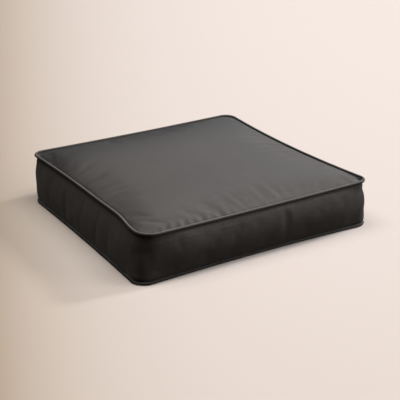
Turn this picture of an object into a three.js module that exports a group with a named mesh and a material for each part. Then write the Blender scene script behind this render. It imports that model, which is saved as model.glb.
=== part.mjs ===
// An outdoor seat cushion: a square boxed cushion, filled and crowned, with a round
// welt sewn into each of its two seams. Millimetres, +Z up. The origin is the middle of
// the underside, and the cushion lies flat on z = 0.

import * as THREE from 'three';

// Driving dimensions
const SIDE = 508;            // a side of the cover, from corner to corner
const SEAM_HEIGHT = 97;      // from the bottom seam up to the top seam
const WELT_RADIUS = 2.9;     // the cord in its wrapped strip of cloth
const CROWN = 14;            // how far the filling lifts the top above its seam
const CROWN_FALL = 2.6;      // higher is flatter in the middle and steeper at the seam
const CLOTH = 1.5;           // thickness of a panel of the cover
const CLEARANCE = 0.3;       // between pieces that lie against each other
const CORNER_SWELL = 1;      // how far the boxing stands out past its seams at a corner
const SWELL_RUN = 90;        // how far from a corner the boxing reaches its full swell

const HALF = SIDE / 2;
const BOTTOM_SEAM_Z = WELT_RADIUS + CLEARANCE;

// Each seam as the filled cover holds it. Corners go round from the one at -X -Y: x and y
// are the plain square's corner and how far the filling moves it, z is its rise, and
// round is how much of each side the corner's curve takes. Side n runs from corner n to
// the next one, bowed inward by bow and upward by lift.
const TOP_SEAM = {
  height: BOTTOM_SEAM_Z + SEAM_HEIGHT,
  corners: [
    { x: -HALF - 5, y: -HALF + 2, z: 0, round: 33 },
    { x: HALF, y: -HALF + 2, z: 0, round: 28 },
    { x: HALF + 6, y: HALF + 1, z: -2, round: 28 },
    { x: -HALF + 4, y: HALF - 8, z: 1, round: 28 },
  ],
  sides: [
    { bow: -1, lift: -1 },
    { bow: 10, lift: -3 },
    { bow: 5, lift: 0 },
    { bow: 9, lift: -1 },
  ],
};
const BOTTOM_SEAM = {
  height: BOTTOM_SEAM_Z,
  corners: [
    { x: -HALF - 13, y: -HALF + 8, z: 0, round: 30 },
    { x: HALF + 9, y: -HALF + 6, z: 0, round: 28 },
    { x: HALF, y: HALF, z: 0, round: 28 },
    { x: -HALF - 2, y: HALF - 10, z: 0, round: 28 },
  ],
  sides: [
    { bow: 5.5, lift: 1.2 },
    { bow: 3.5, lift: 1 },
    { bow: 4, lift: 1 },
    { bow: 3.5, lift: 0.6 },
  ],
};

// How far the boxing stands out past its seams along each side.
const SIDE_SWELL = [6, 6, 6, 5];

// How the body lies against a welt, as an arc round the welt's centre
const SEAT = WELT_RADIUS + 2 * CLEARANCE;
const SEAT_TURN = THREE.MathUtils.degToRad(45);
const SEAT_EDGE = 0.8;       // where the arc ends, in from the welt's centre line
const PANEL_EDGE = WELT_RADIUS + CLEARANCE;

// Mesh steps
const SIDE_STEPS = 14;
const CORNER_STEPS = 6;
const CORNER_PULL = 0.56;    // how far a corner curve's handles reach towards its sharp tip
const WELT_STEPS = 8;
const BOXING_LEVELS = [0.12, 0.3, 0.5, 0.7, 0.88];          // share of the way up
const CROWN_RINGS = [0.035, 0.09, 0.18, 0.32, 0.52, 0.76];  // share of the way in

const CHARCOAL = 0x3f3b39;

// A point on side n of a seam, t of the way from its first corner to its second.
function sidePoint(seam, n, t) {
  const from = seam.corners[n];
  const to = seam.corners[(n + 1) % seam.corners.length];
  const { bow, lift } = seam.sides[n];
  const arch = 4 * t * (1 - t);
  const along = new THREE.Vector2(to.x - from.x, to.y - from.y).normalize();
  return new THREE.Vector3(
    THREE.MathUtils.lerp(from.x, to.x, t) - along.y * bow * arch,
    THREE.MathUtils.lerp(from.y, to.y, t) + along.x * bow * arch,
    seam.height + THREE.MathUtils.lerp(from.z, to.z, t) + lift * arch,
  );
}

// The curve that carries a seam round a corner, from one side's end to the next one's start.
function cornerCurve(corner, start, end) {
  const tip = new THREE.Vector3(corner.x, corner.y, (start.z + end.z) / 2);
  return new THREE.CubicBezierCurve3(
    start,
    start.clone().lerp(tip, CORNER_PULL),
    end.clone().lerp(tip, CORNER_PULL),
    end,
  );
}

// The stations round a seam: each has its point, the way out from the cushion in plan,
// and how far the boxing stands out there.
function stations(seam) {
  const list = [];
  seam.sides.forEach((side, n) => {
    const next = (n + 1) % seam.sides.length;
    const first = seam.corners[n].round / SIDE;
    const last = 1 - seam.corners[next].round / SIDE;
    for (let i = 0; i <= SIDE_STEPS; i += 1) {
      const t = THREE.MathUtils.lerp(first, last, i / SIDE_STEPS);
      const toCorner = SIDE * Math.min(t - first, last - t);
      const full = THREE.MathUtils.smoothstep(toCorner, 0, SWELL_RUN);
      const swell = THREE.MathUtils.lerp(CORNER_SWELL, SIDE_SWELL[n], full);
      list.push({ point: sidePoint(seam, n, t), swell });
    }
    const start = sidePoint(seam, n, last);
    const end = sidePoint(seam, next, seam.corners[next].round / SIDE);
    const curve = cornerCurve(seam.corners[next], start, end);
    for (let i = 1; i < CORNER_STEPS; i += 1) {
      list.push({ point: curve.getPoint(i / CORNER_STEPS), swell: CORNER_SWELL });
    }
  });
  list.forEach((station, i) => {
    const before = list[(i + list.length - 1) % list.length].point;
    const after = list[(i + 1) % list.length].point;
    station.out = new THREE.Vector3(after.y - before.y, before.x - after.x, 0).normalize();
  });
  return list;
}

// A ring that follows a seam, moved inward by inset and upward by rise.
function ring(seamStations, inset, rise) {
  return seamStations.map(({ point, out }) => (
    point.clone().addScaledVector(out, -inset).setZ(point.z + rise)
  ));
}

// The same ring pressed flat at one height.
function levelRing(seamStations, inset, z) {
  return ring(seamStations, inset, 0).map((point) => point.setZ(z));
}

// A ring of the boxing, a share of the way from the bottom seam up to the top one.
function boxingRing(bottom, top, share) {
  const belly = Math.sin(Math.PI * share);
  return bottom.map((low, i) => {
    const outward = THREE.MathUtils.lerp(-SEAT_EDGE, low.swell, belly);
    return low.point.clone().lerp(top[i].point, share).addScaledVector(low.out, outward);
  });
}

// The crown over an edge: rings that close in on the middle, and the middle's own point.
// The rise dies out towards each side on its own, so it grows more slowly from a corner,
// where two sides hold the cloth down, than from half-way along a side.
function crown(edge) {
  const height = edge.reduce((sum, point) => sum + point.z, 0) / edge.length;
  const rings = CROWN_RINGS.map((share) => edge.map((point) => {
    const reach = Math.max(Math.abs(point.x), Math.abs(point.y)) / (1 - share);
    const fallX = 1 - Math.abs(point.x / reach) ** CROWN_FALL;
    const fallY = 1 - Math.abs(point.y / reach) ** CROWN_FALL;
    const plane = THREE.MathUtils.lerp(point.z, height, share);
    const z = plane + CROWN * fallX * fallY;
    return new THREE.Vector3(point.x * (1 - share), point.y * (1 - share), z);
  }));
  return { rings, middle: new THREE.Vector3(0, 0, height + CROWN) };
}

// A closed skin through rings of equal length, drawn together to a point at each end.
// Without end points the last ring joins the first. Each four-sided patch is split along
// its shorter diagonal, so skins that lie against each other have the same facets.
function skin(rings, firstEnd, lastEnd) {
  const width = rings[0].length;
  const points = rings.flat();
  const faces = [];
  const bands = firstEnd ? rings.length - 1 : rings.length;
  for (let r = 0; r < bands; r += 1) {
    const low = r * width;
    const high = ((r + 1) % rings.length) * width;
    for (let i = 0; i < width; i += 1) {
      const [a, b, c, d] = [low + i, low + (i + 1) % width, high + (i + 1) % width, high + i];
      if (points[a].distanceTo(points[c]) < points[b].distanceTo(points[d])) {
        faces.push(a, b, c, a, c, d);
      } else {
        faces.push(a, b, d, b, c, d);
      }
    }
  }
  if (firstEnd) {
    const last = bands * width;
    points.push(firstEnd, lastEnd);
    for (let i = 0; i < width; i += 1) {
      const next = (i + 1) % width;
      faces.push(next, i, points.length - 2);
      faces.push(last + i, last + next, points.length - 1);
    }
  }
  const geometry = new THREE.BufferGeometry().setFromPoints(points);
  geometry.setIndex(faces);
  geometry.computeVertexNormals();
  return geometry;
}

// The filled body: a flat underside, the boxing between the two welts and a crowned top.
function cushionBody(bottom, top) {
  const turnInset = SEAT * Math.cos(SEAT_TURN);
  const turnRise = SEAT * Math.sin(SEAT_TURN);
  const floor = CLOTH + CLEARANCE;
  const shoulder = ring(top, PANEL_EDGE, -CLOTH / 2 - CLEARANCE);
  const { rings, middle } = crown(shoulder);
  return skin([
    levelRing(bottom, SEAT, floor),
    ring(bottom, SEAT, 0),
    ring(bottom, turnInset, turnRise),
    ring(bottom, SEAT_EDGE, SEAT),
    ...BOXING_LEVELS.map((share) => boxingRing(bottom, top, share)),
    ring(top, SEAT_EDGE, -SEAT),
    ring(top, turnInset, -turnRise),
    shoulder,
    ...rings,
  ], new THREE.Vector3(0, 0, floor), middle);
}

// The top panel: a sheet that lies over the crown from welt to welt.
function topPanel(top) {
  const lowEdge = ring(top, PANEL_EDGE, -CLOTH / 2);
  const highEdge = ring(top, PANEL_EDGE, CLOTH / 2);
  const under = crown(lowEdge);
  const over = crown(highEdge);
  const rings = [...under.rings.reverse(), lowEdge, highEdge, ...over.rings];
  return skin(rings, under.middle, over.middle);
}

// The bottom panel: a sheet that lies flat on what the cushion rests on.
function bottomPanel(bottom) {
  const rings = [levelRing(bottom, PANEL_EDGE, 0), levelRing(bottom, PANEL_EDGE, CLOTH)];
  return skin(rings, new THREE.Vector3(0, 0, 0), new THREE.Vector3(0, 0, CLOTH));
}

// A welt: a round cord all the way round a seam.
function welt(seamStations) {
  const rings = [];
  for (let i = 0; i < WELT_STEPS; i += 1) {
    const angle = 2 * Math.PI * (i + 0.5) / WELT_STEPS;
    rings.push(ring(seamStations, -WELT_RADIUS * Math.cos(angle), WELT_RADIUS * Math.sin(angle)));
  }
  return skin(rings);
}

function piece(name, geometry, roughness) {
  const material = new THREE.MeshStandardMaterial({ color: CHARCOAL, roughness, metalness: 0 });
  const mesh = new THREE.Mesh(geometry, material);
  mesh.name = name;
  return mesh;
}

const topStations = stations(TOP_SEAM);
const bottomStations = stations(BOTTOM_SEAM);

const cushion = new THREE.Group();
cushion.add(piece('cushion_body', cushionBody(bottomStations, topStations), 0.9));
cushion.add(piece('top_panel', topPanel(topStations), 0.85));
cushion.add(piece('bottom_panel', bottomPanel(bottomStations), 0.9));
cushion.add(piece('top_welt', welt(topStations), 0.8));
cushion.add(piece('bottom_welt', welt(bottomStations), 0.8));

export default cushion;
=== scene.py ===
# %% [markdown]
# # A boxed outdoor seat cushion
# The cushion is a square cover of charcoal outdoor canvas, filled until it is firm. A
# maker cuts a top panel, a bottom panel and a long boxing strip, and sews a round welt
# into both seams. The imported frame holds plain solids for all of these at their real
# size, and this script builds the cloth that is seen around them.

# %% Load the frame
import math
from collections import namedtuple

import bpy
import numpy as np
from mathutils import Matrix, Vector
from mathutils.kdtree import KDTree


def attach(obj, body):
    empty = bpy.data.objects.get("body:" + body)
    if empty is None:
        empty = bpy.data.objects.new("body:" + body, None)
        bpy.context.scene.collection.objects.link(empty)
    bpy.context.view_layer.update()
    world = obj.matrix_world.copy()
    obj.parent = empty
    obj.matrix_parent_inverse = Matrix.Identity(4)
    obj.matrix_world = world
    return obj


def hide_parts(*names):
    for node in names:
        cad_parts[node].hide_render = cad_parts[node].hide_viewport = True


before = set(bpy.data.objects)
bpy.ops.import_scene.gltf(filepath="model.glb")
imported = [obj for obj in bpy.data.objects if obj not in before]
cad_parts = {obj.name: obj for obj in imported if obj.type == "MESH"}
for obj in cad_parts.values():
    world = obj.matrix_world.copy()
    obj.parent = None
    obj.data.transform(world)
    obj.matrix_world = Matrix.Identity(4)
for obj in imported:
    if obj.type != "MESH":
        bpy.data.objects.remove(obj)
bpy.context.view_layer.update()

# %% [markdown]
# ## The two seams
# Everything on a boxed cushion hangs from its two seams, so they come first. A filled
# cover never stays square: the corners are carried outward, the sides between them are
# drawn in, and each corner turns on its own small radius. One table row for each corner
# and each side says how far, and a line is worked out from them. It could be drawn as a
# curve in Blender's viewport too, but a table can be read and corrected to the millimetre.

# %% Seam sizes
MM = 0.001
SIDE = 508 * MM
HALF = SIDE / 2
WELT_RADIUS = 2.9 * MM
SEAM_GAP = 97              # millimetres from the bottom seam up to the top seam
BOTTOM_SEAM_Z = WELT_RADIUS + 0.3 * MM
TOP_SEAM_Z = BOTTOM_SEAM_Z + SEAM_GAP * MM
FRONT, RIGHT, BACK, LEFT = range(4)

# x and y are the plain square's corner in metres. All the rest is in millimetres.
Corner = namedtuple("Corner", "x y shift_x shift_y rise rounding")
Side = namedtuple("Side", "bow lift swell")

TOP_CORNERS = (
    Corner(-HALF, -HALF, -5, 2, 0, 33),
    Corner(HALF, -HALF, 0, 2, 0, 24),
    Corner(HALF, HALF, 6, 1, -2, 28),
    Corner(-HALF, HALF, 4, -8, 1, 24),
)
TOP_SIDES = (Side(-1, -1, 13), Side(10, -3, 7), Side(5, 0, 7), Side(9, -1, 8))
BOTTOM_CORNERS = (
    Corner(-HALF, -HALF, -13, 8, 0, 30),
    Corner(HALF, -HALF, 9, 6, 0, 25),
    Corner(HALF, HALF, 0, 0, 0, 28),
    Corner(-HALF, HALF, -2, -10, 0, 42),
)
BOTTOM_SIDES = (Side(5.5, 1.2, 9), Side(3.5, 1, 7), Side(4, 1, 7), Side(3.5, 0.6, 8))

# A bend is a place where one side runs a little out of its curve.
Bend = namedtuple("Bend", "at width out")
TOP_BENDS = {LEFT: (Bend(206, 24, 2.8), Bend(134, 34, -2.6))}

# %% Points along a seam
CORNER_PULL = 0.56         # how far a corner curve's handles reach towards its sharp tip
SIDE_POINTS = 200
CURVE_POINTS = 40


def corner_tip(corner, height):
    """The sharp corner that a rounded one is cut from."""
    return np.array([corner.x + corner.shift_x * MM, corner.y + corner.shift_y * MM,
                     height + corner.rise * MM])


def side_points(corners, sides, height, k, bends=()):
    """Side k of a seam, from where one corner's curve ends to where the next begins."""
    here, there = corners[k], corners[(k + 1) % 4]
    start, end = corner_tip(here, height), corner_tip(there, height)
    first, last = here.rounding * MM / SIDE, 1 - there.rounding * MM / SIDE
    t = np.linspace(first, last, SIDE_POINTS)[:, None]
    arch = 4 * t * (1 - t)
    along = (end - start)[:2] / np.linalg.norm((end - start)[:2])
    inward = np.array([-along[1], along[0], 0])
    up = np.array([0, 0, 1])
    bent = arch * (sides[k].bow * MM * inward + sides[k].lift * MM * up)
    for bend in bends:
        away = ((t - 0.5) * SIDE / MM - bend.at) / bend.width
        bent = bent - bend.out * MM * np.exp(-away ** 2 / 2) * inward
    return start * (1 - t) + end * t + bent


def corner_points(corners, height, k, start, end):
    """The smooth curve round corner k, between the ends of its two sides."""
    tip = corner_tip(corners[k], height)
    tip[2] = (start[2] + end[2]) / 2
    first = start + (tip - start) * CORNER_PULL
    second = end + (tip - end) * CORNER_PULL
    t = np.linspace(0, 1, CURVE_POINTS)[:, None]
    return ((1 - t) ** 3 * start + 3 * (1 - t) ** 2 * t * first
            + 3 * (1 - t) * t * t * second + t ** 3 * end)


def seam_sides(corners, sides, height):
    """Four stretches of a seam, each from the middle of one corner to the middle of the next."""
    bends = TOP_BENDS if corners is TOP_CORNERS else {}
    straights = [side_points(corners, sides, height, k, bends.get(k, ())) for k in range(4)]
    curves = [corner_points(corners, height, k, straights[k - 1][-1], straights[k][0])
              for k in range(4)]
    middle = CURVE_POINTS // 2
    return [np.vstack([curves[k][middle:], straights[k][1:-1], curves[(k + 1) % 4][:middle + 1]])
            for k in range(4)]


# %% [markdown]
# Stations are the places round a seam where the cover's mesh has a column. They lie
# closer together at the corners, where the cloth turns, and they are shared by both
# seams, so that the boxing's columns run straight up and down.

# %% Stations round a seam
CELLS = 90                 # mesh columns along one side
CROWDING = 0.2             # how much closer the columns stand at a corner


def crowded(count):
    """Fractions from 0 to 1, closer together at both ends."""
    u = np.linspace(0, 1, count + 1)
    return u - CROWDING * np.sin(2 * np.pi * u) / (2 * np.pi)


def along_line(points, fractions):
    """Points at the given fractions of a line's length."""
    steps = np.linalg.norm(np.diff(points, axis=0), axis=1)
    length = np.concatenate([[0], np.cumsum(steps)])
    return np.stack([np.interp(fractions * length[-1], length, points[:, i]) for i in range(3)], 1)


def ways_out(points):
    """The way out of the cushion at each point of a ring, in plan."""
    ahead = np.roll(points, -1, 0) - np.roll(points, 1, 0)
    out = np.stack([ahead[:, 1], -ahead[:, 0], np.zeros(len(points))], 1)
    return out / np.linalg.norm(out, axis=1)[:, None]


def seam_with_ways_out(corners, sides, height):
    """The four parts of a seam, each with the way out of the cushion at its points."""
    parts = seam_sides(corners, sides, height)
    out = ways_out(np.vstack([part[:-1] for part in parts]))
    ends = np.cumsum([len(part) - 1 for part in parts])[:-1]
    pieces = np.split(out, ends)
    closed = [np.vstack([pieces[k], pieces[(k + 1) % 4][:1]]) for k in range(4)]
    return list(zip(parts, closed))


def ring(seam, inset, rise, cells=CELLS):
    """A ring that follows a seam, moved inward and upward by millimetres."""
    rows = [along_line(part - out * inset * MM, crowded(cells))[:-1] for part, out in seam]
    points = np.vstack(rows)
    points[:, 2] += rise * MM
    return points


top_line = seam_with_ways_out(TOP_CORNERS, TOP_SIDES, TOP_SEAM_Z)
bottom_line = seam_with_ways_out(BOTTOM_CORNERS, BOTTOM_SIDES, BOTTOM_SEAM_Z)
top_seam, bottom_seam = ring(top_line, 0, 0), ring(bottom_line, 0, 0)
top_out, bottom_out = ways_out(top_seam), ways_out(bottom_seam)
seam_length = np.linalg.norm(np.roll(top_seam, -1, 0) - top_seam, axis=1).sum()
print(f"top seam {seam_length / MM:.0f} mm round, {len(top_seam)} stations")

# %% [markdown]
# ## The top's form
# Going inward from a seam, a panel leaves the groove beside the welt, rolls up over the
# edge of the filling and flattens into a low dome. Each of the four sides holds the roll
# down, and the nearest one counts most. A corner is held by two of them, so the roll
# stays lower there, as the real one does.

# %% How far a point lies from each side
LINE_STEPS = 60            # straight steps that stand for one side of the seam


def smooth_step(value, start, end):
    """0 before start, 1 past end and an S curve between them."""
    t = np.clip((value - start) / (end - start), 0, 1)
    return t * t * (3 - 2 * t)


def distance_to_line(points, line):
    """Distance in plan from each point to a line, and how far along the line that is."""
    best = np.full(len(points), 1e9)
    where = np.zeros(len(points))
    start = 0.0
    for a, b in zip(line[:-1, :2], line[1:, :2]):
        step = b - a
        size = np.linalg.norm(step)
        away = points[:, :2] - a
        t = np.clip(away @ step / size ** 2, 0, 1)
        gap = np.linalg.norm(away - t[:, None] * step, axis=1)
        closer = gap < best
        best = np.where(closer, gap, best)
        where = np.where(closer, start + t * size, where)
        start += size
    return best, where - start / 2


top_lines = [along_line(part, np.linspace(0, 1, LINE_STEPS + 1))
             for part in seam_sides(TOP_CORNERS, TOP_SIDES, TOP_SEAM_Z)]


def seam_level(points, far):
    """The height of the seams at each point, the nearest side counting most."""
    total, weights = np.zeros(len(points)), np.zeros(len(points))
    for line, (gap, along) in zip(top_lines, far):
        steps = np.linalg.norm(np.diff(line[:, :2], axis=0), axis=1)
        length = np.concatenate([[0], np.cumsum(steps)]) - steps.sum() / 2
        weight = 1 / np.maximum(gap, 1 * MM) ** 2
        total += weight * np.interp(along, length, line[:, 2])
        weights += weight
    return total / weights


# %% [markdown]
# The filling doesn't reach right into a corner, so the cloth sinks in there. Each place is
# a dent in a table, in millimetres. The roll, the dome and the dents make the whole height.

# %% Height of the top over its seam
ROLL_HEIGHT = 8 * MM       # the rise over the filling's edge
ROLL_REACHES = (17 * MM, 18 * MM, 20 * MM, 19 * MM)         # one for each side
GROOVE = 4.0 * MM          # from the seam's line to where the roll starts
DOME_HEIGHT = 4.5 * MM     # the slow rise from there to the middle
DOME_POWER = 2.4           # higher is flatter in the middle
LEAST_GAP = 0.01 * MM

Dent = namedtuple("Dent", "x y width depth")
LEFT_DENTS = (Dent(-240, 236, 9, 4.6), Dent(-214, 240, 12, 2.4))
FRONT_DENT = Dent(-240, -228, 11, 1.0)
RIGHT_DENTS = (Dent(243, -238, 9, 4.5), Dent(246, -214, 12, 2.4))
BACK_DENT = Dent(236, 230, 13, 1.6)


def depth_in(points, dent):
    """How deep each point lies in a dent, as a share of the dent's depth."""
    away = np.hypot(points[:, 0] - dent.x * MM, points[:, 1] - dent.y * MM) / (dent.width * MM)
    return np.exp(-away ** 2 / 2)


def on_top(points):
    """The points of the top panel, lifted to the height of the filled top."""
    far = [distance_to_line(points, line) for line in top_lines]
    gaps = [gap for gap, _ in far]
    held = np.ones(len(points))
    for gap, reach in zip(gaps, ROLL_REACHES):
        risen = 1 - np.exp(-np.clip(gap - GROOVE, LEAST_GAP, None) / reach)
        held += 1 / risen ** 2 - 1
    roll = held ** -0.5
    dome = np.ones(len(points))
    for a, b in ((FRONT, BACK), (RIGHT, LEFT)):
        across = np.abs(gaps[a] - gaps[b]) / (gaps[a] + gaps[b])
        dome *= 1 - across ** DOME_POWER
    lifted = points.copy()
    lifted[:, 2] = seam_level(points, far) + ROLL_HEIGHT * roll + DOME_HEIGHT * dome
    for dent in (*LEFT_DENTS, FRONT_DENT, *RIGHT_DENTS, BACK_DENT):
        lifted[:, 2] -= dent.depth * MM * depth_in(points, dent)
    return lifted


# %% [markdown]
# ## The boxing's form
# The strip between the seams hides behind the top welt for a few millimetres, stands out
# a little where the seam's allowances lie behind it, swells over the filling and comes
# down almost flush with the lower welt. At a corner it is bent the other way, and each
# corner has settled differently, so that has a table of its own.

# %% Profile of the boxing
Row = namedtuple("Row", "away out")
BELOW_TOP_WELT = (Row(2.1, -2.1), Row(3.2, -2.9), Row(4.6, -2.9), Row(6.8, -2.2),
                  Row(10, -1.2), Row(15, -0.5), Row(21, -0.1))
ABOVE_BOTTOM_WELT = (Row(2.1, -2.1), Row(3.2, -0.9), Row(4.6, 0.1), Row(6.8, 0.8),
                     Row(10, 0.9), Row(15, 0.5), Row(21, 0))
MIDDLE_SHARES = (0.29, 0.38, 0.47, 0.56, 0.65, 0.72)        # rows between, as shares of the way
CORNER_SWELL = 1.0         # millimetres that the boxing stands out at a corner
BELLY_UP = 0.9             # under 1 the boxing stands out furthest above its middle
SWELL_RUN = 90 * MM        # from a corner to where the boxing has its side's full swell

# How far each corner stands out in millimetres, from the top seam to the bottom one
Settled = namedtuple("Settled", "seam upper middle lower foot")
SETTLED_AT = (0.03, 0.18, 0.40, 0.60, 0.78, 0.90, 0.97)
CORNERS_SETTLED = (
    Settled(-1.6, -2.6, -1.4, 0.3, 0.9),
    Settled(-1.8, 0.6, 1.3, 2.2, 1.4),
    Settled(0, 0.2, 0.3, 1.0, 0.6),
    Settled(-0.6, 2.4, 1.0, 2.2, 0.8),
)
CORNER_RUN = 55 * MM       # how far from a corner its own table counts


def boxing_shares():
    """Rows of the boxing from top to bottom, as shares of the way down."""
    upper = [row.away / SEAM_GAP for row in BELOW_TOP_WELT]
    lower = [1 - row.away / SEAM_GAP for row in reversed(ABOVE_BOTTOM_WELT)]
    return upper + list(MIDDLE_SHARES) + lower


# %% [markdown]
# The boxing isn't even either. The filling leaves soft hollows in it, its cloth folds
# softly up and down where it was eased, and the allowances behind it press a faint line
# through just under the welt. Each of these is one row of a table: where its middle is
# along the side and down from the top seam, how far it spreads both ways, how much it
# leans, and how far it stands out. The two sides that face away have rows of their own
# from a seeded draw.

# %% Table of folds
Fold = namedtuple("Fold", "side at down width height lean out")
FOLDS = [
    Fold(FRONT, 47, 20, 4.5, 20, 0.08, -1.3),
    Fold(FRONT, 36, 24, 7, 22, 0.08, 0.6),
    Fold(FRONT, 60, 26, 8, 22, 0.05, 0.5),
    Fold(FRONT, -130, 68, 20, 12, 0, -1.4),
    Fold(FRONT, -98, 60, 16, 20, 0.2, 0.6),
    Fold(FRONT, -172, 17, 62, 2.6, 0, -0.8),
    Fold(FRONT, -172, 10, 62, 3, 0, 0.3),
    Fold(FRONT, 30, 16, 70, 2.6, 0, -0.3),
    Fold(FRONT, -200, 58, 12, 26, -0.1, -0.7),
    Fold(FRONT, -36, 62, 24, 16, 0, 0.6),
    Fold(FRONT, 8, 66, 12, 18, 0.15, -0.6),
    Fold(FRONT, 96, 70, 26, 12, 0, -0.7),
    Fold(FRONT, 128, 40, 14, 26, -0.1, 0.5),
    Fold(FRONT, 176, 62, 12, 20, 0.1, -0.6),
    Fold(FRONT, 206, 44, 10, 26, 0, 0.5),
    Fold(FRONT, 250, 19, 16, 3.4, 0, -2.0),
    Fold(FRONT, 246, 11, 14, 3.4, 0, 0.8),
    Fold(FRONT, 251, 46, 9, 15, 0, 1.6),
    Fold(FRONT, 236, 44, 4, 20, -0.1, -0.9),
    Fold(LEFT, -87, 66, 7, 22, 0.1, 1.0),
    Fold(LEFT, -75, 66, 6, 24, 0.1, -1.3),
    Fold(LEFT, -33, 68, 6, 20, 0.05, -1.3),
    Fold(LEFT, -22, 68, 7, 20, 0.05, 0.9),
    Fold(LEFT, 74, 64, 9, 24, -0.1, -1.4),
    Fold(LEFT, 88, 62, 9, 22, -0.1, 0.6),
    Fold(LEFT, -150, 46, 20, 24, 0, -0.7),
    Fold(LEFT, -190, 60, 12, 18, 0.1, 0.7),
    Fold(LEFT, 22, 44, 16, 26, 0.1, 0.5),
    Fold(LEFT, 126, 66, 12, 18, 0, -0.6),
    Fold(LEFT, 168, 48, 22, 28, 0, 0.9),
    Fold(LEFT, 10, 16, 120, 2.6, 0, -0.35),
]
HIDDEN_FOLD_PLACES = np.linspace(-200, 200, 12)
STRAY = (-14, 14)          # how far a hidden fold may lie from its place
HIDDEN_FOLD = ((24, 72), (6, 20), (14, 26), (-0.2, 0.2), (-1.3, 0.9))   # from down to out
draw = np.random.default_rng(23)
for hidden in (RIGHT, BACK):
    for place in HIDDEN_FOLD_PLACES:
        at = place + draw.uniform(*STRAY)
        FOLDS.append(Fold(hidden, at, *(draw.uniform(low, high) for low, high in HIDDEN_FOLD)))
print(len(FOLDS), "folds in the boxing")

# %% [markdown]
# A fold near a corner goes on round it, so each side also counts the folds of the sides
# next to it. Folds die out at both seams, where the stitches hold the cloth.

# %% How far the boxing stands out
def folds_out(side, share, fractions):
    """How far all the folds of one side carry a row of the boxing outward."""
    down = share * SEAM_GAP
    along = (fractions - 0.5) * SIDE / MM
    out = np.zeros(len(fractions))
    for fold in FOLDS:
        sides_away = (fold.side - side + 2) % 4 - 2
        below = down - fold.down
        beside = along - fold.at - sides_away * SIDE / MM - fold.lean * below
        out += fold.out * np.exp(-(beside / fold.width) ** 2 / 2 - (below / fold.height) ** 2 / 2)
    return out * math.sin(math.pi * share) ** 0.5


def boxing_out(share, fractions):
    """How far the boxing stands out at a share of the way down, for all stations."""
    away = min(share, 1 - share) * SEAM_GAP
    rows = BELOW_TOP_WELT if share < 0.5 else ABOVE_BOTTOM_WELT
    edge = np.interp(away, [row.away for row in rows], [row.out for row in rows])
    belly = math.sin(math.pi * share ** BELLY_UP)
    values = []
    for k, side in enumerate(TOP_SIDES):
        from_corner = np.minimum(fractions, 1 - fractions) * SIDE
        full = smooth_step(from_corner, 0, SWELL_RUN)
        near = 1 - smooth_step(from_corner, 0, CORNER_RUN)
        bent = [np.interp(share, SETTLED_AT, (0, *corner, 0))
                for corner in (CORNERS_SETTLED[k], CORNERS_SETTLED[(k + 1) % 4])]
        corner = np.where(fractions < 0.5, bent[0], bent[1]) * near
        swell = belly * (CORNER_SWELL + (side.swell - CORNER_SWELL) * full)
        values.append(edge + swell + corner + folds_out(k, share, fractions))
    return np.concatenate(values) * MM


# %% [markdown]
# ## The cage
# The panels are rings that follow the seam for the first few centimetres, so that
# puckers can run square to it, and a plain grid inside. A grid all over would shear
# at the rounded corners, and rings all over would crowd together in the middle.

# %% Rings and grids
PANEL_EDGE = (Row(2.1, -2.1), Row(3.1, -1.1), Row(4.2, -0.4))
PANEL_RINGS = (6.0, 9.0, 13.0, 18.0, 24.0)                  # millimetres in from the seam
BOTTOM_EDGE = (Row(3.4, 1.0), Row(5, -0.6), Row(8, -2.2), Row(14, -2.9))
FLOOR_GAP = 0.3 * MM
SEWN_TO = 3.5              # millimetres from a seam that the stitches hold still


def inner_grid(edge, cells):
    """A grid that fills a ring: a patch blended between its four sides."""
    sides = [np.vstack([edge, edge[:1]])[k * cells:(k + 1) * cells + 1] for k in range(4)]
    front, right, back, left = sides[0], sides[1], sides[2][::-1], sides[3][::-1]
    u = np.linspace(0, 1, cells + 1)[None, :, None]
    v = np.linspace(0, 1, cells + 1)[:, None, None]
    rows = front[None] * (1 - v) + back[None] * v
    columns = left[:, None] * (1 - u) + right[:, None] * u
    corners = ((front[0] * (1 - u) + front[-1] * u) * (1 - v)
               + (back[0] * (1 - u) + back[-1] * u) * v)
    return rows + columns - corners


def grid_edge(index):
    """The ring of a grid's outer points, in the order of the stations."""
    return np.concatenate([index[0, :-1], index[:-1, -1], index[-1, :0:-1], index[:0:-1, 0]])


class Skin:
    """Collects rings and grids of points into one closed mesh."""

    def __init__(self):
        self.points, self.faces, self.regions, self.sewn = [], [], [], []
        self.station, self.past_seam = [], []

    def add(self, points, past_seam=1.0, sewn=False):
        """Add a ring or a grid; past_seam is how far inside the top seam a ring lies."""
        first = len(self.station)
        self.points.append(points.reshape(-1, 3))
        index = first + np.arange(points.size // 3).reshape(points.shape[:-1])
        a_ring = index.ndim == 1
        self.station += list(range(len(index))) if a_ring else [0] * index.size
        self.past_seam += [past_seam] * index.size
        if sewn:
            self.sewn += index.ravel().tolist()
        return index

    def face(self, corners, region):
        """One face, and the piece of cloth that it belongs to."""
        self.faces.append([int(c) for c in corners])
        self.regions.append(region)

    def band(self, lower, upper, region):
        """Faces between two rings."""
        for i in range(len(lower)):
            j = (i + 1) % len(lower)
            self.face((lower[i], lower[j], upper[j], upper[i]), region)

    def grid(self, index, region, flip=False):
        """Faces between a grid's points."""
        for a in range(index.shape[0] - 1):
            for b in range(index.shape[1] - 1):
                corners = (index[a, b], index[a, b + 1], index[a + 1, b + 1], index[a + 1, b])
                self.face(corners[::-1] if flip else corners, region)

    def mesh(self, name):
        """All of it as one smooth-shaded mesh, with each face's piece of cloth."""
        made = bpy.data.meshes.new(name)
        made.from_pydata(np.vstack(self.points).tolist(), [], self.faces)
        region = made.attributes.new("region", "INT", "FACE")
        region.data.foreach_set("value", self.regions)
        made.polygons.foreach_set("use_smooth", [True] * len(self.faces))
        return made


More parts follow.
